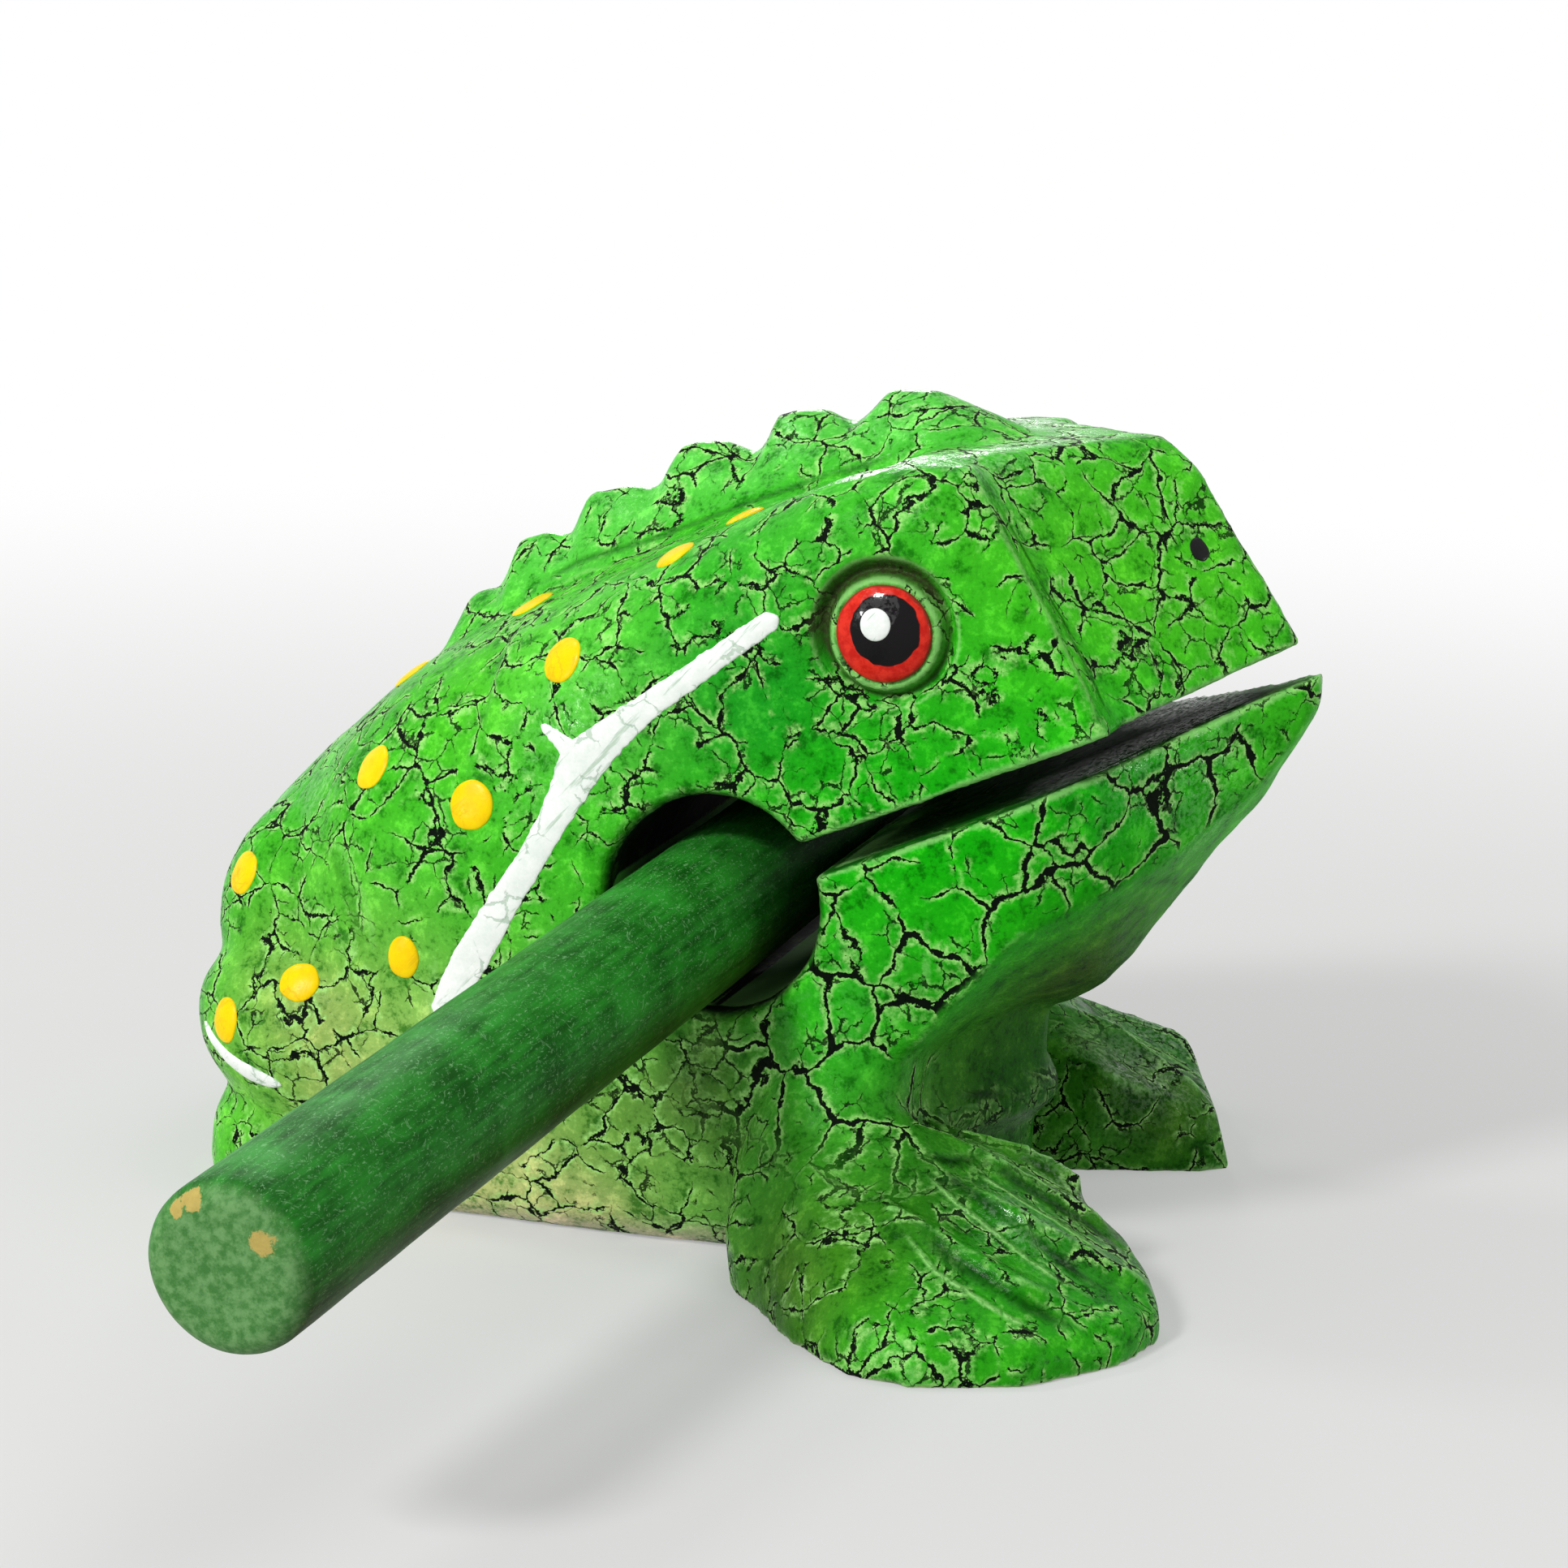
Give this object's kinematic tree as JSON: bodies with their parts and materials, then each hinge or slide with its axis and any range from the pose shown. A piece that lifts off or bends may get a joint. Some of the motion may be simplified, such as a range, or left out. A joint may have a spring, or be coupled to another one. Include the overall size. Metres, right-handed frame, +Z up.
{
  "type": "carved wooden frog rasp",
  "caption": "Seated frog carved from a wood block, with a notched spine, a sawn mouth slot and a round striker stick stored in its crosswise bore.",
  "frame": {"origin": "middle of the flat belly where it stands, below the spine, 5.3 mm behind the bore's axis", "axes": "+X from the rump to the snout, +Y to the frog's left, along the stick's length, +Z up from the soles to the spine"},
  "size_m": [0.089, 0.1345, 0.0659],
  "materials": {
    "frog_paint": "glossy green crackle paint on wood",
    "stick_stain": "worn satin dark green stain on wood"
  },
  "bodies": {
    "root": {"frog_body": "frog_paint", "striker_stick": "stick_stain"}
  },
  "joints": []
}
